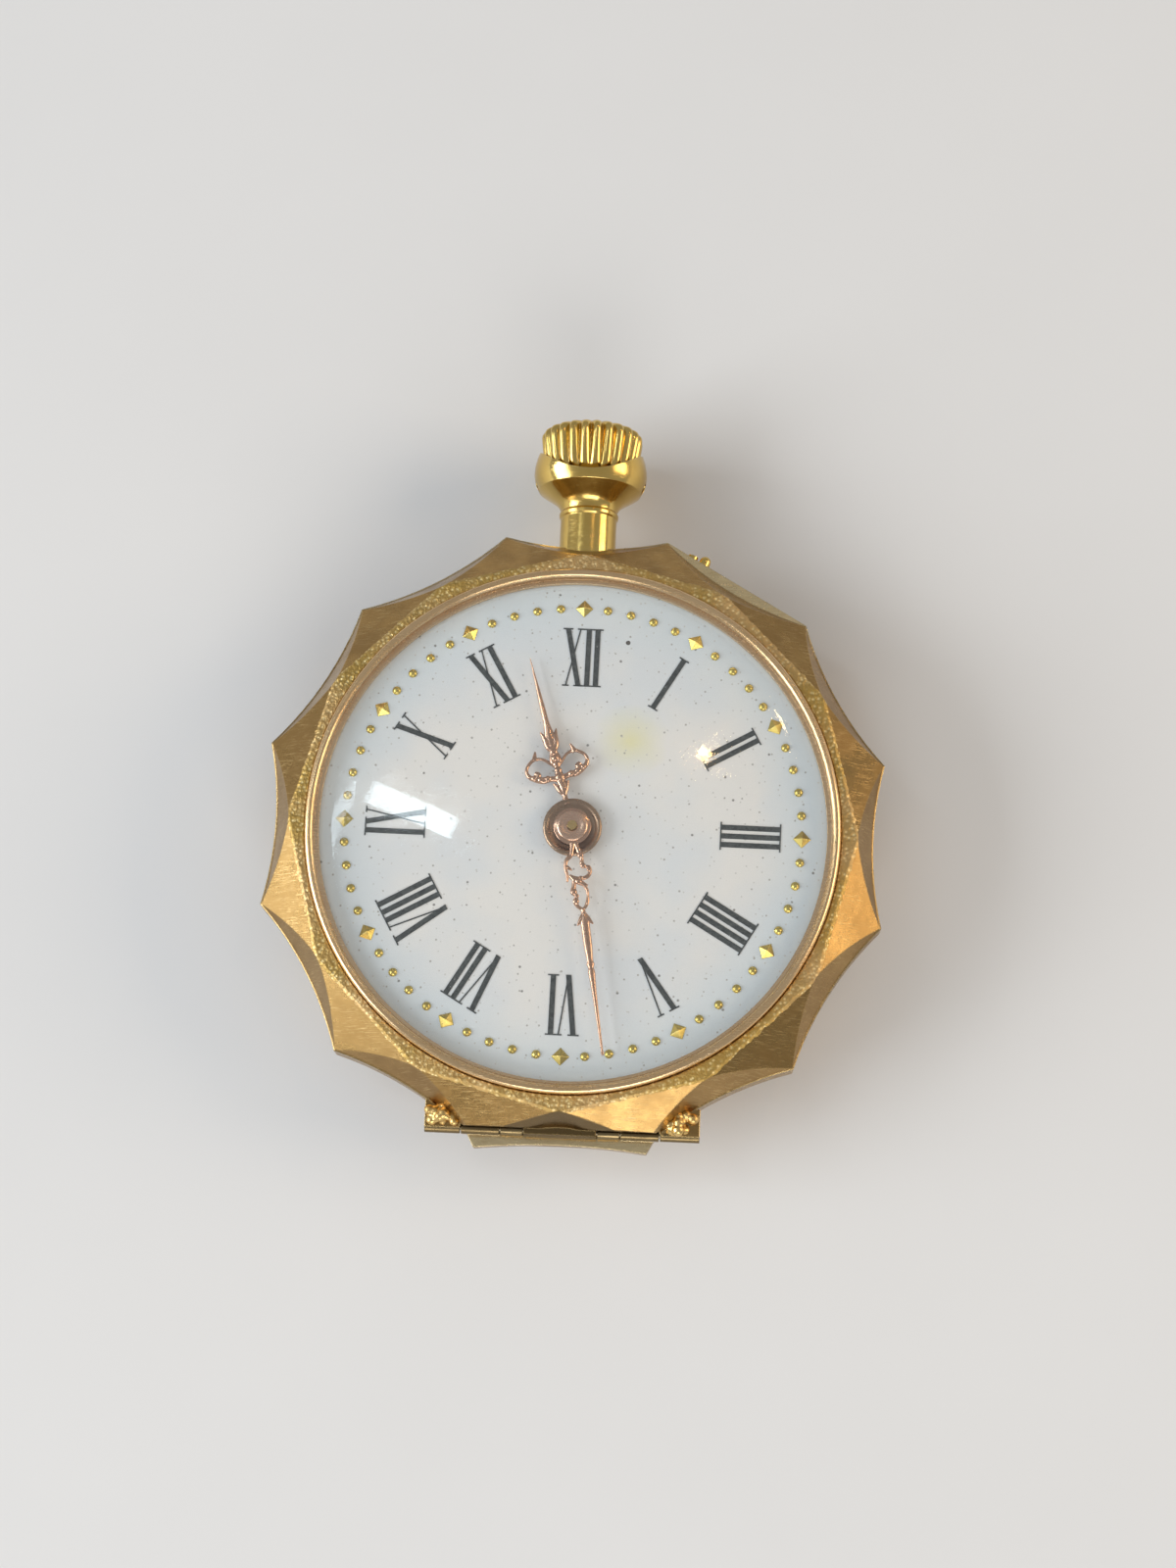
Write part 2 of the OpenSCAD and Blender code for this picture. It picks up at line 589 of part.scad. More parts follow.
module regulator() color(steel)
  difference() {
    union() {
      disc(balance_p, 0.85, 2.1, 2.22);
      bar(balance_p, balance_p + [1.0, 3.0], 0.3, 2.1, 2.22);
    }
    disc(balance_p, 0.5, 2, 3);
  }

minute_phase = mate(dirn([0, 0], minute_p), dirn([0, 0], minute_p), 12, 36);
module cannon_pinion() color(steel)
  difference() {
    union() {
      translate([0, 0, 5.09]) linear_extrude(0.2) toothed(12, m_motion, dirn([0, 0], minute_p), 0.7, 0.9);
      disc([0, 0], 0.5, 5.09, minute_z + hand_t);
    }
    disc([0, 0], 0.26, 5, 8);
  }
module minute_wheel() color("goldenrod") translate([minute_p[0], minute_p[1], 0])
  difference() {
    union() {
      translate([0, 0, 5.1]) linear_extrude(0.16) toothed(36, m_motion, minute_phase, 0.7, 0.9);
      translate([0, 0, 5.26]) linear_extrude(0.3) toothed(10, 0.096, dirn(minute_p, [0, 0]), 0.7, 0.9);
    }
    translate([0, 0, 5]) cylinder(h = 1, r = 0.25);
  }
module hour_wheel() color("goldenrod")
  difference() {
    union() {
      translate([0, 0, 5.4]) linear_extrude(0.13)
        toothed(40, 0.096, mate(dirn(minute_p, [0, 0]), dirn(minute_p, [0, 0]), 10, 40), 0.7, 0.9);
      disc([0, 0], 0.8, 5.4, hour_z + hand_t);
    }
    disc([0, 0], 0.53, 5, 8);
  }
module setting_wheel() color("goldenrod") translate([setting_p[0], setting_p[1], 5.1])
  difference() {
    linear_extrude(0.16)
      toothed(46, m_motion, mate(dirn(minute_p, setting_p), minute_phase, 36, 46), 0.7, 0.9);
    translate([0, 0, -1]) cylinder(h = 3, r = 0.25);
  }

module dial() color("white")
  difference() {
    disc([0, 0], dial_r, dial_low, dial_top);
    disc([0, 0], 0.95, 5, 7);
  }
module minute_dots() color(gold)
  for (k = [0:59]) if (k % 5 != 0) translate(concat(cpos(minute_r, 6 * k + dial_turn), [dial_top - 0.07]))
    intersection() {
      sphere(r = 0.24, $fn = 24);
      translate([0, 0, 0.08]) cylinder(h = 1, r = 1);
    }
module five_minute_studs() color(gold)
  for (k = [0:11]) translate(concat(cpos(minute_r, 30 * k + dial_turn), [dial_top + 0.01]))
    rotate(90 - 30 * k) cylinder(h = 0.24, r1 = 0.46, r2 = 0.02, $fn = 4);

numeral_h = 3.1;
numeral_r = 9.08;
thick = 0.27;
thin = 0.07;
function advance(c) = c == "I" ? 0.45 : c == "V" ? 1.12 : 1.08;
function total(s, n) = n == 0 ? 0 : advance(s[n - 1]) + total(s, n - 1);
// A slanted stroke of horizontal width w from (x0, foot) to (x1, head)
module stroke(x0, x1, w)
  polygon([[x0 - w / 2, -numeral_h / 2], [x0 + w / 2, -numeral_h / 2],
           [x1 + w / 2, numeral_h / 2], [x1 - w / 2, numeral_h / 2]]);
module serif(x, w, y) translate([x - w / 2, y - thin / 2]) square([w, thin]);
module letter(c) {
  top = numeral_h / 2 - thin / 2;
  if (c == "I") {
    stroke(0, 0, thick);
    for (y = [-top, top]) serif(0, 0.56, y);
  }
  if (c == "V") {
    stroke(0.02, -0.36, thick);
    stroke(0.02, 0.4, thin);
    serif(-0.36, 0.56, top);
    serif(0.4, 0.36, top);
  }
  if (c == "X") {
    stroke(0.33, -0.33, thick);
    stroke(-0.33, 0.33, thin);
    for (s = [-1, 1]) {
      serif(-s * 0.33, 0.5, s * top);
      serif(s * 0.33, 0.34, s * top);
    }
  }
}
module numerals() color("black")
  for (k = [0:11]) {
    s = ["XII", "I", "II", "III", "IIII", "V", "VI", "VII", "VIII", "IX", "X", "XI"][k];
    rotate(-30 * k - dial_turn) translate([0, numeral_r, dial_top + 0.005]) linear_extrude(0.025)
      for (i = [0:len(s) - 1])
        translate([total(s, i) + advance(s[i]) / 2 - total(s, len(s)) / 2, 0]) letter(s[i]);
  }

module ring2d(x, y, r, w) translate([x, y]) difference() {
  circle(r = r);
  circle(r = r - w);
}
module leaf2d(x, y, w, l) translate([x, y]) intersection() {
  translate([w * 1.2, 0]) circle(r = w * 1.7);
  translate([-w * 1.2, 0]) circle(r = w * 1.7);
  translate([-w, -l / 2]) square([2 * w, l]);
}
module hour_hand() color("peru") rotate(-hour_angle) translate([0, 0, hour_z]) difference() {
  linear_extrude(hand_t) {
    circle(r = 1.5);
    polygon([[-0.35, 1.3], [0.35, 1.3], [0.14, 2.4], [0.14, 5.6], [-0.14, 5.6], [-0.14, 2.4]]);
    for (s = [-1, 1]) {
      ring2d(s * 0.82, 3.55, 0.74, 0.2);
      ring2d(s * 0.5, 2.5, 0.42, 0.17);
      ring2d(s * 0.42, 4.5, 0.4, 0.16);
      translate([s * 1.28, 4.1]) circle(r = 0.24);
    }
    leaf2d(0, 5.3, 0.55, 1.3);
    polygon([[-0.3, 5.3], [0.3, 5.3], [0.04, 9.25], [-0.04, 9.25]]);
  }
  translate([0, 0, -1]) cylinder(h = 3, r = 0.81);
}
module minute_hand() color("peru") rotate(-minute_angle) translate([0, 0, minute_z]) difference() {
  linear_extrude(hand_t) {
    circle(r = 0.95);
    polygon([[-0.2, 0.8], [0.2, 0.8], [0.12, 2.0], [0.12, 5.0], [-0.12, 5.0], [-0.12, 2.0]]);
    for (q = [[0.42, 2.0, 0.45], [-0.35, 2.6, 0.4], [0.32, 3.2, 0.36], [-0.3, 3.85, 0.32]])
      ring2d(q[0], q[1], q[2], 0.15);
    leaf2d(0, 4.9, 0.42, 1.0);
    polygon([[-0.2, 5.0], [0.2, 5.0], [0.03, 11.82], [-0.03, 11.82]]);
  }
  translate([0, 0, -1]) cylinder(h = 3, r = 0.51);
}
module hand_boss() color("peru")
  difference() {
    union() {
      disc([0, 0], 0.76, minute_z + hand_t + 0.01, 7.3);
    }
    disc([0, 0], 0.26, 7, 8);
  }

case_band();
pendant();
bezel_ring();
crystal();
solder_lumps();
hinge_pin();
pusher_guard();
back_cover();
cuvette();
pusher();
crown();
stem();
winding_pinion();
clutch_pinion();
setting_lever();
crown_wheel();
crown_wheel_core();
ratchet_wheel();
ratchet_screw();
barrel_arbor();
barrel_drum();
barrel_cover();
mainspring();
click();
click_spring();
main_plate();
barrel_bridge();
centre_bridge();
train_bridge();
escape_cock();
balance_cock();
jewels();
bridge_screws();
case_screws();
centre_wheel();
third_wheel();
fourth_wheel();
escape_wheel();
balance_wheel();
balance_cylinder();
hairspring();
regulator();
cannon_pinion();
minute_wheel();
hour_wheel();
setting_wheel();
dial();
minute_dots();
five_minute_studs();
numerals();
hour_hand();
minute_hand();
hand_boss();
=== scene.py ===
"""Open-faced fob watch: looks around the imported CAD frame. Metres, in the CAD frame's axes."""
import json
import math
import random

import bmesh
import bpy
from mathutils import Matrix, Vector


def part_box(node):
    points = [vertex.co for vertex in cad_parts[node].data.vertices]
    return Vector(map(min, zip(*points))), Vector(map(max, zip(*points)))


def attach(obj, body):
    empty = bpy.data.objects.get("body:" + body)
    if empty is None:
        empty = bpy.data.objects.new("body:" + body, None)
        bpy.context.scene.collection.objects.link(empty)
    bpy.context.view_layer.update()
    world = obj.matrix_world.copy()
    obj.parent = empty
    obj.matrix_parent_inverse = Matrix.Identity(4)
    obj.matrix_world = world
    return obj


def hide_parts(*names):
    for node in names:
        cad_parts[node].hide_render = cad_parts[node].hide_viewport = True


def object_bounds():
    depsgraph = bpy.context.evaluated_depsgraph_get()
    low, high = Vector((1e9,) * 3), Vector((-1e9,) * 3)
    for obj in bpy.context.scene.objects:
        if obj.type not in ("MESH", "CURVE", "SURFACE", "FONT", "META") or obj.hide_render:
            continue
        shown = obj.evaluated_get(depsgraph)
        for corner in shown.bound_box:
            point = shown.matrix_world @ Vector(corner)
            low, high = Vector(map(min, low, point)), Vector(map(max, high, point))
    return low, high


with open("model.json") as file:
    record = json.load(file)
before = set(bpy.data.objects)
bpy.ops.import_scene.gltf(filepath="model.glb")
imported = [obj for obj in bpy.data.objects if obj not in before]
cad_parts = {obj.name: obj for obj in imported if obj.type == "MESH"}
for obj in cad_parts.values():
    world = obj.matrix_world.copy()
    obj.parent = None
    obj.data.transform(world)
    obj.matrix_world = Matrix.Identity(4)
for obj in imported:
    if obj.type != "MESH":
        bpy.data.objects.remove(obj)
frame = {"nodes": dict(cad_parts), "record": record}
CAD_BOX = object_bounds()
MM = 0.001
NODES = frame["nodes"]
SLOT_OF = {s["node"]: s["material_slot"] for s in frame["record"]["subparts"]}

# Places on the watch, in millimetres, that the materials refer to
HINGE_Y, HINGE_Z, HINGE_REACH = -15.25, 4.5, 0.39
PLATEAU_Z, PLATEAU_R = 6.76, 13.66
ARCH_Y, ARCH_SLOPE, ARCH_Z = -14.45, 0.27, 4.94
LIP_Z, LIP_Y = 4.9, 10.0
LEDGE_Z, LEDGE_Y, LEDGE_X = 4.02, -14.8, 5.0
FLAT_DEPTH = 0.012
DIAL_R = 13.2
STAIN_X, STAIN_Y, STAIN_R = 2.75, 4.75, 4.0
SPOT_X, SPOT_Y, SPOT_R = 2.43, 9.96, 0.12


# ---------------------------------------------------------------- materials
class Mat:
    """A node material with short helpers. Lengths in the textures are millimetres."""

    def __init__(self, name):
        self.m = bpy.data.materials.new(name)
        self.m.use_nodes = True
        self.t = self.m.node_tree
        self.b = self.t.nodes["Principled BSDF"]
        coord = self.t.nodes.new("ShaderNodeTexCoord")
        scale = self.t.nodes.new("ShaderNodeMapping")
        scale.inputs["Scale"].default_value = (1 / MM, 1 / MM, 1 / MM)
        self.t.links.new(coord.outputs["Object"], scale.inputs["Vector"])
        self.mm = scale.outputs["Vector"]

    def node(self, kind, **props):
        n = self.t.nodes.new("ShaderNode" + kind)
        for k, v in props.items():
            setattr(n, k, v)
        return n

    def put(self, socket, value):
        if isinstance(value, bpy.types.NodeSocket):
            self.t.links.new(value, socket)
        elif isinstance(value, (tuple, list)) and len(value) == 3 and socket.type == "RGBA":
            socket.default_value = (*value, 1)
        else:
            socket.default_value = value

    def math(self, op, a, b=0.0, clamp=False):
        n = self.node("Math", operation=op, use_clamp=clamp)
        self.put(n.inputs[0], a)
        self.put(n.inputs[1], b)
        return n.outputs[0]

    def stretch(self, sx, sy, sz, turn=0.0):
        n = self.node("Mapping")
        n.inputs["Scale"].default_value = (sx, sy, sz)
        n.inputs["Rotation"].default_value = (0, 0, math.radians(turn))
        self.put(n.inputs["Vector"], self.mm)
        return n.outputs[0]

    def noise(self, scale, detail=3.0, rough=0.55, vector=None, distortion=0.0):
        n = self.node("TexNoise")
        n.inputs["Scale"].default_value = scale
        n.inputs["Detail"].default_value = detail
        n.inputs["Roughness"].default_value = rough
        n.inputs["Distortion"].default_value = distortion
        self.put(n.inputs["Vector"], vector or self.mm)
        return n.outputs[0]

    def voronoi(self, scale, dimensions="3D"):
        n = self.node("TexVoronoi", voronoi_dimensions=dimensions)
        n.inputs["Scale"].default_value = scale
        self.put(n.inputs["Vector"], self.mm)
        return n.outputs["Distance"]

    def xyz(self):
        """The object coordinates in mm, one output each"""
        n = self.node("SeparateXYZ")
        self.put(n.inputs[0], self.mm)
        return n.outputs

    def length(self, a, b):
        return self.math("SQRT", self.math("ADD", self.math("MULTIPLY", a, a), self.math("MULTIPLY", b, b)))

    def ramp(self, fac, *stops):
        """stops: (position, value or colour)"""
        n = self.node("ValToRGB")
        self.put(n.inputs[0], fac)
        cr = n.color_ramp
        while len(cr.elements) < len(stops):
            cr.elements.new(0.5)
        for e, (p, c) in zip(cr.elements, stops):
            e.position = p
            e.color = (*c, 1) if isinstance(c, (tuple, list)) else (c, c, c, 1)
        return n.outputs[0]

    def mix(self, fac, a, b, mode="MIX"):
        n = self.node("Mix", data_type="RGBA", blend_type=mode)
        self.put(n.inputs["Factor"], fac)
        self.put(n.inputs[6], a)
        self.put(n.inputs[7], b)
        return n.outputs[2]

    def bump(self, height, strength, dist_mm, normal=None):
        n = self.node("Bump")
        n.inputs["Strength"].default_value = strength
        n.inputs["Distance"].default_value = dist_mm * MM
        self.put(n.inputs["Height"], height)
        if normal:
            self.put(n.inputs["Normal"], normal)
        return n.outputs[0]

    def rounded(self, radius_mm):
        n = self.node("Bevel", samples=4)
        n.inputs["Radius"].default_value = radius_mm * MM
        return n.outputs[0]

    def edge(self, normal, gain=3.0):
        """0 on flats, 1 along edges, from a rounded normal"""
        geo = self.node("NewGeometry")
        dot = self.node("VectorMath", operation="DOT_PRODUCT")
        self.put(dot.inputs[0], normal)
        self.put(dot.inputs[1], geo.outputs["Normal"])
        return self.math("MULTIPLY", self.math("SUBTRACT", 1.0, dot.outputs["Value"]), gain, True)

    def set(self, **k):
        for name, value in k.items():
            self.put(self.b.inputs[name.replace("_", " ")], value)
        return self.m

    def scratches(self, turns, density=0.5):
        """Fine long scratches at several angles, 0 to 1"""
        total = None
        for i, turn in enumerate(turns):
            n = self.noise(1.0, 2.0, 0.6, self.stretch(1.1, 26 + 5 * i, 1.1, turn), 0.6)
            line = self.ramp(n, (0.60 + 0.04 * density, 0.0), (0.66, 1.0))
            gate = self.ramp(self.noise(0.35 + 0.1 * i), (0.42, 0.0), (0.62, 1.0))
            s = self.math("MULTIPLY", line, gate)
            total = s if total is None else self.math("MAXIMUM", total, s)
        return total


def metal(name, base, dark, rough=(0.18, 0.4), edge_mm=0.06, patina=0.5, scratch=0.5,
          grain=0.0, grain_scale=14.0, wear=None, turns=(12, 75, 140)):
    """Worn metal: tone patches, scratches, softened bright edges.

    Returns the material with its colour, roughness and normal still to be set."""
    w = Mat(name)
    soft = w.rounded(edge_mm)
    edge = w.edge(soft)
    bright = wear or tuple(min(1, c * 1.25) for c in base)
    patch = w.ramp(w.noise(0.42, 5.0, 0.62), (0.34, 0.0), (0.68, 1.0))
    fine = w.noise(5.0, 4.0, 0.7)
    lines = w.scratches(turns)
    colour = w.mix(w.math("MULTIPLY", patch, patina, True), base, dark)
    colour = w.mix(w.math("MULTIPLY", fine, 0.25, True), colour, tuple(c * 0.72 for c in base))
    colour = w.mix(w.math("MULTIPLY", lines, scratch * 0.5, True), colour, bright)
    colour = w.mix(w.math("MULTIPLY", edge, 0.75, True), colour, bright)
    r = w.math("ADD", w.math("MULTIPLY", patch, rough[1] - rough[0]), rough[0])
    r = w.math("ADD", r, w.math("MULTIPLY", fine, 0.08))
    r = w.math("ADD", r, w.math("MULTIPLY", lines, 0.12 * scratch), True)
    n = w.bump(lines, 0.25 * scratch, 0.012, soft)
    n = w.bump(w.noise(2.2, 3.0), 0.12, 0.03, n)
    if grain:
        n = w.bump(w.noise(grain_scale, 2.0, 0.6), grain, 0.03, n)
    return w, colour, r, n


def hinge_shade(w, colour):
    """Painted shade darkening everything that wraps the hinge pin."""
    _, y, z = w.xyz()
    away = w.length(w.math("SUBTRACT", y, HINGE_Y), w.math("SUBTRACT", z, HINGE_Z))
    away = w.math("ADD", away, w.math("MULTIPLY", w.math("SUBTRACT", w.noise(2.5), 0.5), 0.08))
    near = w.math("LESS_THAN", away, HINGE_REACH)
    return w.mix(w.math("MULTIPLY", near, 0.8), colour, (0.15, 0.115, 0.06))


def plain_metal(name, base, dark, hinged=False, **k):
    w, colour, r, n = metal(name, base, dark, **k)
    # hinged parts get the painted shade round the hinge pin
    if hinged:
        colour = hinge_shade(w, colour)
    return w.set(Base_Color=colour, Roughness=r, Metallic=1.0, Normal=n)


def case_gold():
    """Worn facets, the frosted band round the bezel with painted glints, painted shade on the dark arch at six and
    round the hinge, and a painted highlight that makes the brushed lip and ledge pale.
    """
    w, colour, r, n = metal("case_gold", (0.445, 0.275, 0.098), (0.26, 0.150, 0.052),
                            rough=(0.15, 0.32), edge_mm=0.09, patina=0.75, scratch=0.7,
                            wear=(0.93, 0.73, 0.36))
    x, y, z = w.xyz()
    jag = w.math("MULTIPLY", w.math("SUBTRACT", w.noise(3.0, 3.0), 0.5), 0.25)
    high = w.math("GREATER_THAN", w.math("ADD", z, w.math("MULTIPLY", jag, 0.9)), PLATEAU_Z)
    ring = w.math("MULTIPLY", high, w.math("GREATER_THAN", w.length(x, y), PLATEAU_R))
    grit = w.voronoi(4.6)
    # painted highlight: grain centres of the frosted band painted bright yellow as glints
    painted_glint = w.ramp(grit, (0.05, 1.0), (0.45, 0.0))
    frosted = w.mix(painted_glint, (0.52, 0.34, 0.10), (1.0, 0.82, 0.40))
    rose = w.ramp(w.noise(0.22, 2.0), (0.40, 0.0), (0.60, 1.0))
    frosted = w.mix(w.math("MULTIPLY", rose, 0.3), frosted, (0.80, 0.54, 0.34))
    colour = w.mix(ring, colour, frosted)
    aside = w.math("ABSOLUTE", x)
    # painted shade: the cone-cut arch at six painted dark brown where it falls in shade
    bell = w.math("ADD", w.math("SUBTRACT", y, ARCH_Y), w.math("MULTIPLY", aside, ARCH_SLOPE))
    arch = w.math("MULTIPLY", w.math("LESS_THAN", bell, 0.0), w.math("GREATER_THAN", z, ARCH_Z))
    colour = w.mix(w.math("MULTIPLY", arch, 0.80), colour, (0.13, 0.09, 0.04))
    # painted shade round the hinge pin
    colour = hinge_shade(w, colour)
    lip = w.math("GREATER_THAN", y, LIP_Y)
    ledge = w.math("MULTIPLY", w.math("LESS_THAN", y, LEDGE_Y), w.math("LESS_THAN", aside, LEDGE_X))
    # painted highlight: the flat lip and ledge painted pale for the light their flat tops catch, over a real
    # brushed grain streak
    for level, where, grain_turn in ((LIP_Z, lip, -30), (LEDGE_Z, ledge, 0)):
        flat = w.math("LESS_THAN", w.math("ABSOLUTE", w.math("SUBTRACT", z, level)), FLAT_DEPTH)
        flat = w.math("MULTIPLY", flat, where)
        streak = w.noise(1.0, 3.0, 0.7, w.stretch(1.2, 16, 1.2, grain_turn))
        colour = w.mix(flat, colour, w.mix(streak, (0.60, 0.42, 0.19), (0.97, 0.82, 0.50)))
    r = w.math("ADD", r, w.math("MULTIPLY", ring, 0.16), True)
    n = w.bump(w.math("MULTIPLY", w.math("ADD", grit, w.noise(9.0, 3.0)), ring), 0.75, 0.06, n)
    return w.set(Base_Color=colour, Roughness=r, Metallic=1.0, Normal=n)


def enamel():
    """White enamel: warm middle, painted shade that darkens and cools it towards its edge, a yellow stain, specks,
    hair scratches, gloss.
    """
    w = Mat("enamel")
    x, y, _ = w.xyz()
    cloud = w.noise(0.16, 3.0, 0.5)
    colour = w.mix(w.ramp(cloud, (0.40, 0.0), (0.62, 1.0)), (0.800, 0.785, 0.740), (0.715, 0.745, 0.750))
    # painted shade: the dial darkens and cools towards its edge under the bezel
    rim_shade = w.ramp(w.math("DIVIDE", w.length(x, y), DIAL_R), (0.72, 0.0), (0.93, 1.0))
    colour = w.mix(w.math("MULTIPLY", rim_shade, 0.7), colour, (0.66, 0.745, 0.775))
    away = w.length(w.math("SUBTRACT", x, STAIN_X), w.math("SUBTRACT", y, STAIN_Y))
    away = w.math("ADD", away, w.noise(0.7, 3.0))
    stain = w.ramp(w.math("DIVIDE", away, STAIN_R), (0.12, 1.0), (0.62, 0.0))
    colour = w.mix(w.math("MULTIPLY", stain, 0.80), colour, (0.78, 0.74, 0.40))
    for scale, size, tone in ((0.26, 0.020, (0.16, 0.15, 0.13)), (0.62, 0.038, (0.36, 0.34, 0.30)),
                              (1.25, 0.060, (0.54, 0.53, 0.49))):
        d = w.math("ADD", w.voronoi(scale, "2D"), w.math("MULTIPLY", w.noise(4.0), size * 0.9))
        colour = w.mix(w.ramp(d, (size, 0.85), (size * 1.5, 0.0)), colour, tone)
    spot = w.length(w.math("SUBTRACT", x, SPOT_X), w.math("SUBTRACT", y, SPOT_Y))
    colour = w.mix(w.math("LESS_THAN", spot, SPOT_R), colour, (0.10, 0.09, 0.08))
    hair = w.scratches((20, 100), 0.9)
    colour = w.mix(w.math("MULTIPLY", hair, 0.10), colour, (0.50, 0.50, 0.48))
    worn = w.noise(3.0, 4.0, 0.7)
    return w.set(Base_Color=colour, Roughness=w.math("ADD", w.math("MULTIPLY", worn, 0.12), 0.16),
                 Normal=w.bump(w.noise(0.8, 3.0), 0.10, 0.05), Coat_Weight=0.35, Coat_Roughness=0.06)


def black_enamel():
    w = Mat("black_enamel")
    chip = w.ramp(w.noise(5.5, 5.0, 0.75), (0.36, 0.0), (0.66, 1.0))
    colour = w.mix(chip, (0.018, 0.022, 0.022), (0.075, 0.085, 0.080))
    colour = w.mix(w.ramp(w.voronoi(2.4), (0.03, 1.0), (0.07, 0.0)), colour, (0.45, 0.46, 0.45))
    return w.set(Base_Color=colour, Roughness=w.math("ADD", w.math("MULTIPLY", chip, 0.25), 0.28),
                 Normal=w.bump(w.noise(9.0, 3.0), 0.25, 0.01))


def clear_glass():
    """Thin clear dome: a mirror-bright coat that shows only as much as glass reflects."""
    w = Mat("crystal")
    facing = w.node("LayerWeight").outputs["Facing"]
    shine = w.math("ADD", w.math("MULTIPLY", w.math("POWER", facing, 5.0), 0.90), 0.045)
    hair = w.scratches((5, 48, 96, 150), 0.7)
    alpha = w.math("ADD", shine, w.math("MULTIPLY", hair, 0.03), True)
    w.set(Base_Color=(0.97, 0.985, 0.98), Metallic=1.0, Alpha=alpha,
          Roughness=w.math("ADD", w.math("MULTIPLY", hair, 0.2), 0.03),
          Normal=w.bump(hair, 0.05, 0.01))
    w.m.blend_method = "BLEND"
    return w.m


def jewel():
    w = Mat("ruby")
    cloud = w.noise(3.0, 3.0)
    return w.set(Base_Color=w.mix(cloud, (0.50, 0.02, 0.07), (0.72, 0.06, 0.14)),
                 Roughness=w.math("ADD", w.math("MULTIPLY", w.noise(8.0), 0.08), 0.05),
                 Normal=w.bump(cloud, 0.05, 0.02), Coat_Weight=0.5)


def plate_gilt():
    """Frosted gilding with a fine directional grain."""
    w, colour, r, n = metal("gilt_plate", (0.80, 0.60, 0.29), (0.62, 0.43, 0.19), rough=(0.30, 0.46),
                            edge_mm=0.04, patina=0.4, scratch=0.3, grain=0.35, grain_scale=18.0)
    brushed = w.noise(1.0, 2.0, 0.6, w.stretch(2.0, 42.0, 2.0, 28))
    return w.set(Base_Color=w.mix(w.math("MULTIPLY", brushed, 0.35), colour, (0.90, 0.72, 0.40)),
                 Roughness=r, Metallic=1.0, Normal=w.bump(brushed, 0.18, 0.012, n))


MATS = {
    "case_gold": case_gold(),
    "bezel_gold": plain_metal("bezel_gold", (0.88, 0.62, 0.34), (0.68, 0.43, 0.20), rough=(0.14, 0.26),
                              edge_mm=0.04, patina=0.6, scratch=0.5, wear=(0.95, 0.74, 0.50)),
    "crystal": clear_glass(),
    "solder": plain_metal("solder", (0.83, 0.58, 0.22), (0.52, 0.30, 0.10), rough=(0.14, 0.42),
                          edge_mm=0.04, patina=0.8, scratch=0.2, grain=0.6, grain_scale=7.0,
                          wear=(1.0, 0.84, 0.50)),
    "hinge_steel": plain_metal("hinge_steel", (0.36, 0.30, 0.20), (0.16, 0.13, 0.09), rough=(0.3, 0.5)),
    # the cuvette gets the painted shade round the hinge pin
    "cuvette_gold": plain_metal("cuvette_gold", (0.74, 0.53, 0.25), (0.55, 0.36, 0.15), hinged=True,
                                rough=(0.14, 0.30), patina=0.5, scratch=0.8, turns=(0, 30, 62, 118)),
    "steel": plain_metal("steel", (0.52, 0.52, 0.53), (0.34, 0.34, 0.35), rough=(0.12, 0.26),
                         edge_mm=0.02, patina=0.4, scratch=0.4),
    "blued_steel": plain_metal("blued_steel", (0.035, 0.065, 0.26), (0.06, 0.04, 0.15), rough=(0.12, 0.22),
                               edge_mm=0.02, patina=0.6, scratch=0.3, wear=(0.20, 0.26, 0.50)),
    "brass": plain_metal("brass", (0.74, 0.53, 0.22), (0.55, 0.36, 0.13), rough=(0.16, 0.32),
                         edge_mm=0.02, patina=0.5, scratch=0.6, turns=(0, 45, 90, 135)),
    "gilt_plate": plate_gilt(),
    "ruby": jewel(),
    "enamel": enamel(),
    "dot_gold": plain_metal("dot_gold", (0.72, 0.57, 0.15), (0.50, 0.38, 0.09), rough=(0.22, 0.36),
                            edge_mm=0.03, patina=0.7, scratch=0.2, wear=(0.96, 0.86, 0.46)),
    "black_enamel": black_enamel(),
    "rose_gold": plain_metal("rose_gold", (0.66, 0.42, 0.285), (0.40, 0.22, 0.14), rough=(0.10, 0.26),
                             edge_mm=0.03, patina=0.6, scratch=0.3, wear=(0.95, 0.66, 0.48)),
    "pendant_gold": plain_metal("pendant_gold", (0.78, 0.545, 0.165), (0.60, 0.37, 0.085), rough=(0.08, 0.20),
                                edge_mm=0.05, patina=0.5, scratch=0.35, wear=(1.0, 0.84, 0.42)),
    "boss_gold": plain_metal("boss_gold", (0.80, 0.54, 0.38), (0.58, 0.36, 0.24), rough=(0.14, 0.28),
                             edge_mm=0.03),
    "hub_brown": plain_metal("hub_brown", (0.46, 0.31, 0.20), (0.24, 0.16, 0.10), rough=(0.16, 0.34),
                             edge_mm=0.03, patina=0.8, wear=(0.95, 0.72, 0.52)),
}

POLISHED = ("pendant", "pusher", "pusher_guard")  # case gold parts with the pendant's brighter look
CAD_ANGLE, OWN_ANGLE, CROWN_ANGLE = math.radians(24), math.radians(40), math.radians(50)
WELD_MM = 0.002


def smooth(obj, angle):
    """Smooth shading, split along edges sharper than the angle."""
    for p in obj.data.polygons:
        p.use_smooth = True
    split = obj.modifiers.new("split", "EDGE_SPLIT")
    split.split_angle = angle


for name, obj in NODES.items():
    obj.data.materials.clear()
    obj.data.materials.append(MATS["pendant_gold" if name in POLISHED else SLOT_OF[name]])
    weld = obj.modifiers.new("weld", "WELD")
    weld.merge_threshold = WELD_MM * MM
    smooth(obj, CAD_ANGLE)


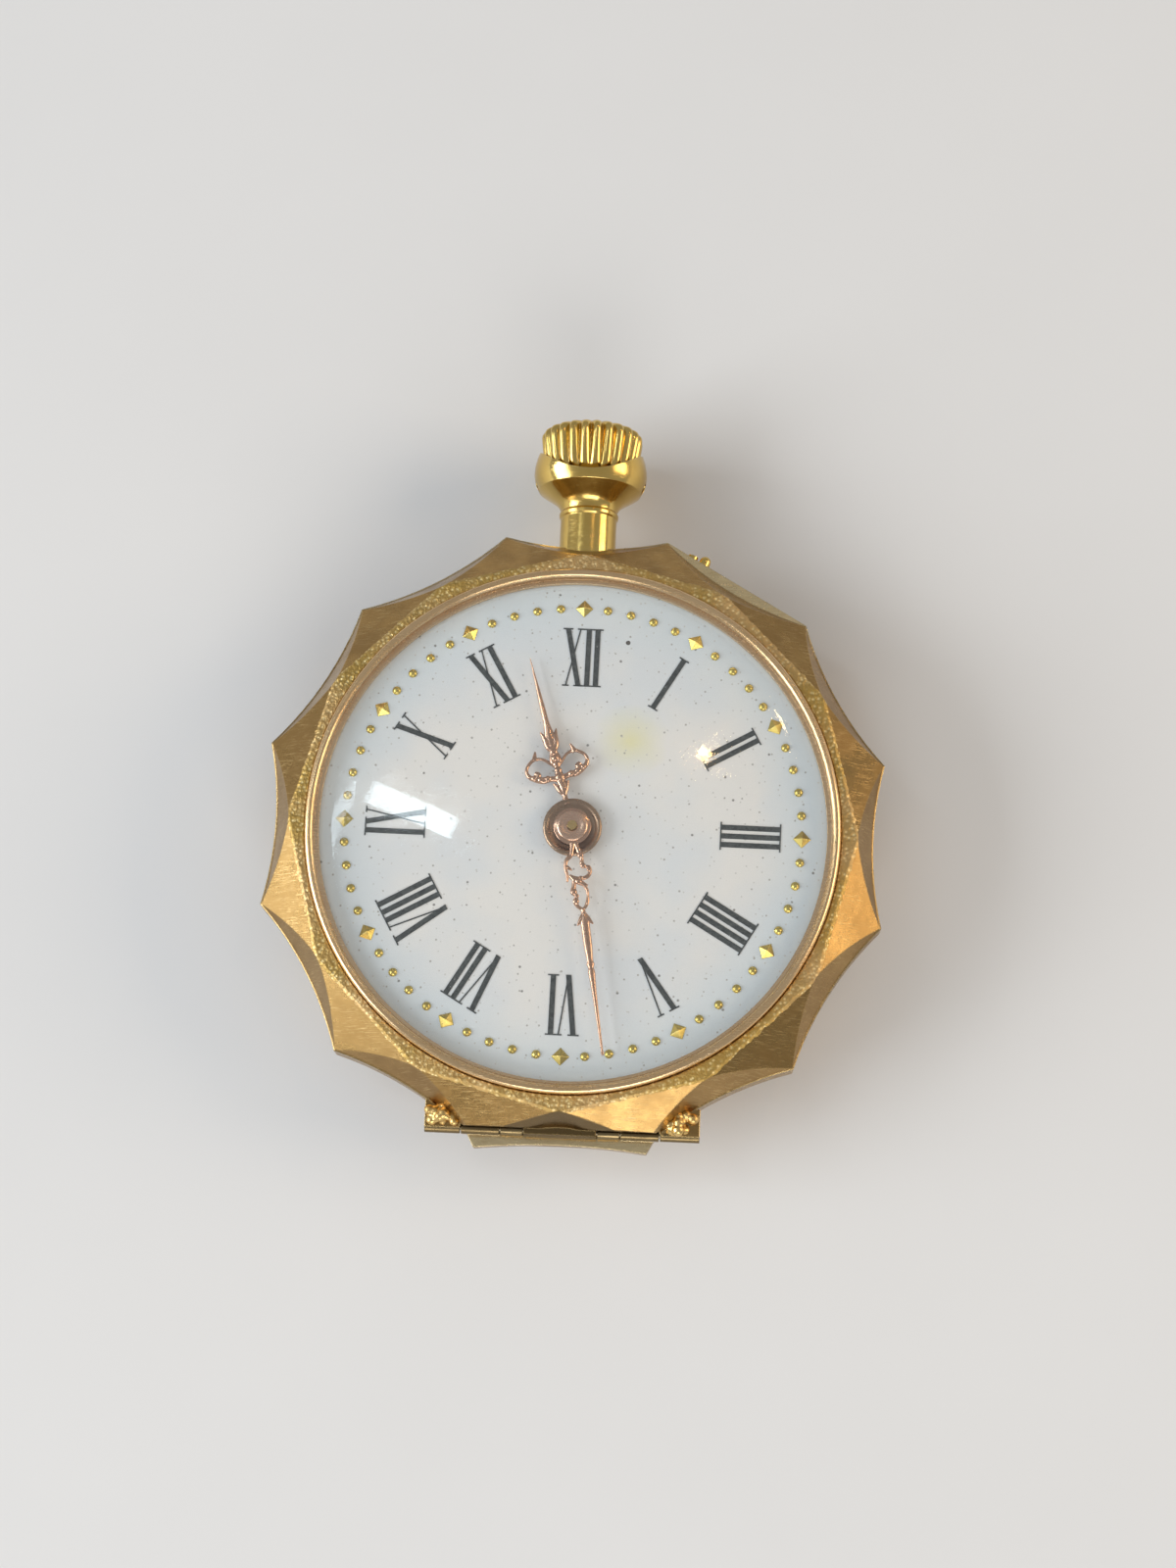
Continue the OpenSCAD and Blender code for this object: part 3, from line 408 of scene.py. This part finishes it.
# ---------------------------------------------------------------- mesh helpers
def new_piece(name, bm, slot, body, replaced=(), angle=OWN_ANGLE, look=None):
    me = bpy.data.meshes.new(name)
    bmesh.ops.recalc_face_normals(bm, faces=bm.faces[:])
    bm.to_mesh(me)
    bm.free()
    obj = bpy.data.objects.new(name, me)
    bpy.context.scene.collection.objects.link(obj)
    me.materials.append(MATS[look or slot])
    smooth(obj, angle)
    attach(obj, body)
    if replaced:
        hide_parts(*replaced)
    return obj


def lathe(bm, profile, place=Matrix.Identity(4), steps=96, ripple=None):
    """Revolves closed (r, h) points in mm about Z; ripple(angle, index) scales the radius."""
    rows = []
    for j in range(steps):
        a = 2 * math.pi * j / steps
        row = []
        for i, (r, h) in enumerate(profile):
            rr = r * (ripple(a, i) if ripple else 1.0)
            row.append(bm.verts.new(place @ (Vector((rr * math.cos(a), rr * math.sin(a), h)) * MM)))
        rows.append(row)
    n = len(profile)
    for j in range(steps):
        a, b = rows[j], rows[(j + 1) % steps]
        for i in range(n):
            k = (i + 1) % n
            if profile[i][0] < 1e-6 and profile[k][0] < 1e-6:
                continue
            bm.faces.new((a[i], b[i], b[k], a[k]))
    bmesh.ops.remove_doubles(bm, verts=bm.verts[:], dist=1e-8)


def curve_points(pts, per=8):
    """Catmull-Rom through tuples of any length."""
    out = []
    ext = [pts[0]] + list(pts) + [pts[-1]]
    for i in range(1, len(ext) - 2):
        p0, p1, p2, p3 = ext[i - 1 : i + 3]
        for s in range(per):
            t = s / per
            out.append(tuple(
                0.5 * (2 * b + (c - a) * t + (2 * a - 5 * b + 4 * c - d) * t * t
                       + (3 * b - a - 3 * c + d) * t ** 3)
                for a, b, c, d in zip(p0, p1, p2, p3)))
    out.append(tuple(pts[-1]))
    return out


FULLNESS = 1.18  # the scrolls are a little fuller than the half widths listed
RING = 8  # faces over a strand's crown


def strand(bm, pts, z0, z1, place, per=8):
    """A rounded metal strand along (x, y, half width) points in mm, flat underneath at z0, crowned to z1."""
    line = curve_points(pts, per)
    rings = []
    for i, (x, y, w) in enumerate(line):
        w *= FULLNESS
        a = line[max(i - 1, 0)]
        b = line[min(i + 1, len(line) - 1)]
        d = Vector((b[0] - a[0], b[1] - a[1], 0))
        d = d.normalized() if d.length > 1e-9 else Vector((0, 1, 0))
        side = Vector((-d.y, d.x, 0))
        high = min(1.0, 0.35 + w * 4.0)
        section = [(-1, 0)] + [
            (-math.cos(math.pi * k / RING), 0.25 + 0.75 * math.sin(math.pi * k / RING)) for k in range(RING + 1)
        ] + [(1, 0)]
        points = [Vector((x, y, z0)) + side * (w * u) + Vector((0, 0, (z1 - z0) * v * high)) for u, v in section]
        rings.append([bm.verts.new(place @ (point * MM)) for point in points])
    for a, b in zip(rings, rings[1:]):
        for k in range(len(a)):
            m = (k + 1) % len(a)
            bm.faces.new((a[k], a[m], b[m], b[k]))
    bm.faces.new(rings[0])
    bm.faces.new(list(reversed(rings[-1])))


def bead(bm, x, y, z, r, place, tall=1.0):
    ball = bmesh.ops.create_icosphere(bm, subdivisions=2, radius=r * MM)
    bmesh.ops.scale(bm, vec=(1, 1, tall), verts=ball["verts"])
    bmesh.ops.transform(bm, matrix=place @ Matrix.Translation(Vector((x, y, z)) * MM), verts=ball["verts"])


# ---------------------------------------------------------------- hands
def turned(direction):
    return Matrix.Rotation(-math.radians(direction), 4, "Z")


HOUR_TURN, MINUTE_TURN = -16.3, 170.0
hour_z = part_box("hour_hand")[0].z / MM
minute_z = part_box("minute_hand")[0].z / MM
top_hour, top_minute = hour_z + 0.2, minute_z + 0.17

bm = bmesh.new()
place = turned(HOUR_TURN)
z0, z1 = hour_z + 0.02, top_hour
strand(bm, [(0, 1.25, 0.17), (0.02, 1.7, 0.11), (0.05, 2.2, 0.17), (0.0, 2.7, 0.2), (0, 3.2, 0.13),
            (0, 3.7, 0.11), (0, 4.3, 0.15), (0, 4.75, 0.24), (0, 5.2, 0.19), (0, 5.7, 0.13), (0, 6.6, 0.11),
            (0, 8.0, 0.06), (0, 9.2, 0.018)], z0, z1, place)
for s in (-1, 1):
    strand(bm, [(0, 2.6, 0.12), (s * 0.45, 2.72, 0.12), (s * 0.85, 2.74, 0.15), (s * 1.2, 2.86, 0.12),
                (s * 1.5, 3.08, 0.10), (s * 1.59, 3.36, 0.08), (s * 1.45, 3.66, 0.07), (s * 1.08, 3.9, 0.075),
                (s * 0.66, 3.84, 0.06), (s * 0.3, 3.52, 0.07), (0, 3.25, 0.09)], z0, z1, place)
    strand(bm, [(s * 1.2, 2.86, 0.12), (s * 1.05, 3.06, 0.14), (s * 1.2, 3.2, 0.09)], z0, z1, place, 5)
    strand(bm, [(s * 1.06, 3.84, 0.14), (s * 1.0, 4.06, 0.09), (s * 0.92, 4.3, 0.04)], z0, z1, place, 5)
    strand(bm, [(0, 4.1, 0.12), (s * 0.2, 4.42, 0.14), (s * 0.27, 4.82, 0.12), (s * 0.42, 5.25, 0.03)],
           z0, z1, place, 6)
    strand(bm, [(0, 1.7, 0.07), (s * 0.17, 2.05, 0.11), (s * 0.38, 2.45, 0.05)], z0, z1, place, 6)
    strand(bm, [(0, 3.3, 0.10), (s * 0.18, 3.6, 0.11), (s * 0.12, 4.0, 0.09)], z0, z1, place, 6)
    bead(bm, s * 0.62, 2.75, z1 - 0.06, 0.17, place, 0.6)
    bead(bm, s * 0.98, 2.80, z1 - 0.06, 0.16, place, 0.6)
    bead(bm, s * 1.30, 2.95, z1 - 0.06, 0.14, place, 0.6)
for y, r in ((2.72, 0.24), (3.08, 0.19), (3.42, 0.17), (3.74, 0.19), (4.08, 0.21), (4.4, 0.17)):
    bead(bm, 0, y, z1 - 0.07, r, place, 0.55)
new_piece("hour_hand_scrolls", bm, "rose_gold", "hour_hand", ["hour_hand"])

bm = bmesh.new()
lathe(bm, [(0.82, hour_z), (1.42, hour_z), (1.5, hour_z + 0.06), (1.5, hour_z + 0.14), (1.45, hour_z + 0.2),
           (1.38, hour_z + 0.22), (1.30, hour_z + 0.20), (1.20, hour_z + 0.12), (1.06, hour_z + 0.09),
           (0.82, hour_z + 0.09)])
new_piece("hour_hand_hub", bm, "rose_gold", "hour_hand", look="hub_brown")

bm = bmesh.new()
place = turned(MINUTE_TURN)
z0, z1 = minute_z + 0.01, top_minute
strand(bm, [(0.1, 0.85, 0.12), (0.26, 1.45, 0.10), (0.52, 1.72, 0.09), (0.62, 2.1, 0.075), (0.58, 2.5, 0.07),
            (0.62, 2.83, 0.045)], z0, z1, place)
strand(bm, [(0.6, 1.95, 0.05), (0.46, 2.12, 0.07), (0.30, 2.26, 0.03)], z0, z1, place, 5)
strand(bm, [(-0.05, 0.85, 0.10), (-0.22, 1.5, 0.12), (-0.26, 1.75, 0.08), (-0.24, 1.98, 0.10), (-0.34, 2.14, 0.07),
            (-0.56, 2.2, 0.08), (-0.60, 2.45, 0.08), (-0.42, 2.68, 0.09), (-0.10, 2.74, 0.08),
            (0.18, 2.66, 0.07), (0.42, 2.52, 0.05)], z0, z1, place)
strand(bm, [(0.46, 2.5, 0.07), (0.2, 2.78, 0.12), (-0.1, 2.98, 0.11), (-0.38, 3.16, 0.05)], z0, z1, place)
strand(bm, [(0.26, 2.75, 0.09), (0.32, 3.1, 0.10), (0.38, 3.38, 0.13), (0.24, 3.62, 0.08), (0.33, 3.88, 0.12),
            (0.24, 4.15, 0.08), (0.04, 4.33, 0.08)], z0, z1, place)
strand(bm, [(-0.12, 3.0, 0.06), (-0.30, 3.3, 0.07), (-0.33, 3.6, 0.06), (-0.27, 3.95, 0.08), (-0.14, 4.2, 0.07),
            (0.02, 4.33, 0.07)], z0, z1, place)
strand(bm, [(0.02, 4.3, 0.09), (0, 4.65, 0.12), (0, 4.95, 0.19), (0, 5.3, 0.19), (0, 6.2, 0.18), (0, 6.95, 0.14),
            (0, 7.15, 0.17), (0, 7.35, 0.12), (0, 7.6, 0.15), (0, 8.4, 0.11), (0, 10.0, 0.075), (0, 11.5, 0.05),
            (0, 11.66, 0.075), (0, 11.82, 0.03)], z0, z1, place)
for s in (-1, 1):
    strand(bm, [(0, 4.45, 0.06), (s * 0.16, 4.8, 0.11), (s * 0.40, 5.12, 0.03)], z0, z1, place, 6)
for x, y, r in ((-0.22, 1.55, 0.17), (-0.28, 2.1, 0.15), (-0.56, 2.33, 0.13), (0.36, 3.38, 0.18),
                (0.31, 3.88, 0.17), (0.05, 2.88, 0.17), (-0.08, 2.72, 0.12), (0.24, 3.62, 0.12)):
    bead(bm, x, y, z1 - 0.06, r, place, 0.5)
lathe(bm, [(0.51, minute_z), (0.9, minute_z), (0.95, minute_z + 0.04), (0.95, minute_z + 0.1),
           (0.9, minute_z + 0.13), (0.51, minute_z + 0.13)])
new_piece("minute_hand_scrolls", bm, "rose_gold", "minute_hand", ["minute_hand"])

bm = bmesh.new()
b0 = minute_z + 0.135
lathe(bm, [(0.27, b0), (0.74, b0), (0.78, b0 + 0.04), (0.77, b0 + 0.12), (0.72, b0 + 0.16), (0.62, b0 + 0.17),
           (0.50, b0 + 0.14), (0.40, b0 + 0.125), (0.27, b0 + 0.12)])
new_piece("hand_boss_turned", bm, "rose_gold", "minute_hand", ["hand_boss"], look="boss_gold")

# ---------------------------------------------------------------- crown
FLUTES, FACES_PER_FLUTE = 24, 14
FLUTE_SHAPE = 0.75
crown_low, crown_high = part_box("crown")
stem_z = (crown_low.z + crown_high.z) / 2 / MM
profile = [(0.47, 19.45), (2.05, 19.45), (2.28, 19.6), (2.4, 19.85), (2.48, 20.15), (2.54, 20.5), (2.59, 20.85),
           (2.64, 21.2), (2.68, 21.5), (2.70, 21.72), (2.68, 21.88), (2.60, 22.02), (2.46, 22.12), (2.25, 22.2),
           (1.95, 22.25), (1.5, 22.29), (0.9, 22.31), (0.0, 22.32), (0.0, 21.0), (0.47, 21.0)]
# How deep the flutes are cut at each point of the profile
DEPTH = [0, 0.0, 0.05, 0.07, 0.08, 0.09, 0.10, 0.11, 0.12, 0.13, 0.135, 0.14, 0.13, 0.10, 0.05, 0.01, 0, 0, 0, 0]


def flute(a, i):
    wave = abs(math.sin(FLUTES * a / 2)) ** FLUTE_SHAPE
    return 1.0 - DEPTH[i] * (1.0 - wave)


bm = bmesh.new()
place = Matrix.Translation((0, 0, stem_z * MM)) @ Matrix.Rotation(-math.pi / 2, 4, "X")
lathe(bm, profile, place, FLUTES * FACES_PER_FLUTE, flute)
new_piece("crown_fluted", bm, "case_gold", "crown", ["crown"], angle=CROWN_ANGLE, look="pendant_gold")

# ---------------------------------------------------------------- solder lumps
random.seed(7)
BEADS_PER_LUMP = 18
LUMP_Z = 5.0
VOXEL_MM = 0.05
bm = bmesh.new()
for cx, cy in ((-6.0, -14.6), (6.15, -14.65)):
    for _ in range(BEADS_PER_LUMP):
        x = cx + random.uniform(-0.68, 0.68)
        y = cy + random.uniform(-0.45, 0.45)
        z = LUMP_Z + random.uniform(-0.12, 0.25) - 0.25 * abs(x - cx)
        bead(bm, x, y, z, random.uniform(0.20, 0.34), Matrix.Identity(4))
piece = new_piece("solder_beads", bm, "solder", "case", ["solder_lumps"])
remesh = piece.modifiers.new("melt", "REMESH")
remesh.mode = "VOXEL"
remesh.voxel_size = VOXEL_MM * MM
remesh.use_smooth_shade = True
relax = piece.modifiers.new("relax", "SMOOTH")
relax.iterations = 3
piece.modifiers.remove(piece.modifiers["split"])

# ---------------------------------------------------------------- floor, light, camera
FLOOR_GAP = 0.02 * MM
bpy.ops.mesh.primitive_plane_add(size=3.0, location=(0, 0, CAD_BOX[0][2] - FLOOR_GAP))
floor = bpy.context.object
floor.name = "floor"
w = Mat("floor_card")
w.set(Base_Color=w.mix(w.noise(0.05, 4.0), (0.70, 0.695, 0.685), (0.74, 0.735, 0.725)), Roughness=0.75,
      Normal=w.bump(w.noise(3.0, 3.0), 0.05, 0.03))
floor.data.materials.append(w.m)

world = bpy.data.worlds.new("studio")
bpy.context.scene.world = world
world.use_nodes = True
sky = world.node_tree.nodes["Background"]
sky.inputs["Color"].default_value = (0.84, 0.86, 0.90, 1)
sky.inputs["Strength"].default_value = 0.42


def lamp(name, at, size, power, colour):
    """An area lamp aimed at the middle of the watch."""
    data = bpy.data.lights.new(name, "AREA")
    data.shape = "RECTANGLE"
    data.size, data.size_y = size
    data.energy = power
    data.color = colour
    obj = bpy.data.objects.new(name, data)
    obj.location = at
    obj.rotation_euler = (-Vector(at)).to_track_quat("-Z", "Y").to_euler()
    bpy.context.scene.collection.objects.link(obj)


lamp("window", (-0.27, 0.125, 0.49), (0.036, 0.16), 0.12, (0.80, 0.92, 1.0))
lamp("warm_lamp", (0.162, 0.205, 0.44), (0.018, 0.014), 0.035, (1.0, 0.66, 0.30))
lamp("left_soft", (-0.52, -0.10, 0.26), (0.45, 0.30), 3.0, (0.90, 0.95, 1.0))
lamp("right_soft", (0.50, 0.05, 0.24), (0.30, 0.25), 1.2, (1.0, 0.80, 0.56))
lamp("front_fill", (0.05, -0.50, 0.26), (0.40, 0.22), 1.2, (1.0, 0.98, 0.95))

cam_data = bpy.data.cameras.new("camera")
cam_data.lens = 67.5
cam_data.sensor_width = 36.0
cam_data.sensor_fit = "AUTO"
cam_data.clip_start = 0.005
cam_data.clip_end = 5.0
camera = bpy.data.objects.new("camera", cam_data)
CORNER_PLANE = 4.9  # the case's corners, from which the camera's height is measured
CAMERA_MM = (5.50, -31.22, 148.28 + CORNER_PLANE)
CAMERA_DEG = (12.960, 1.297, 2.541)
camera.location = Vector(CAMERA_MM) * MM
camera.rotation_euler = [math.radians(a) for a in CAMERA_DEG]
bpy.context.scene.collection.objects.link(camera)
bpy.context.scene.camera = camera
bpy.context.scene.view_settings.view_transform = "Standard"
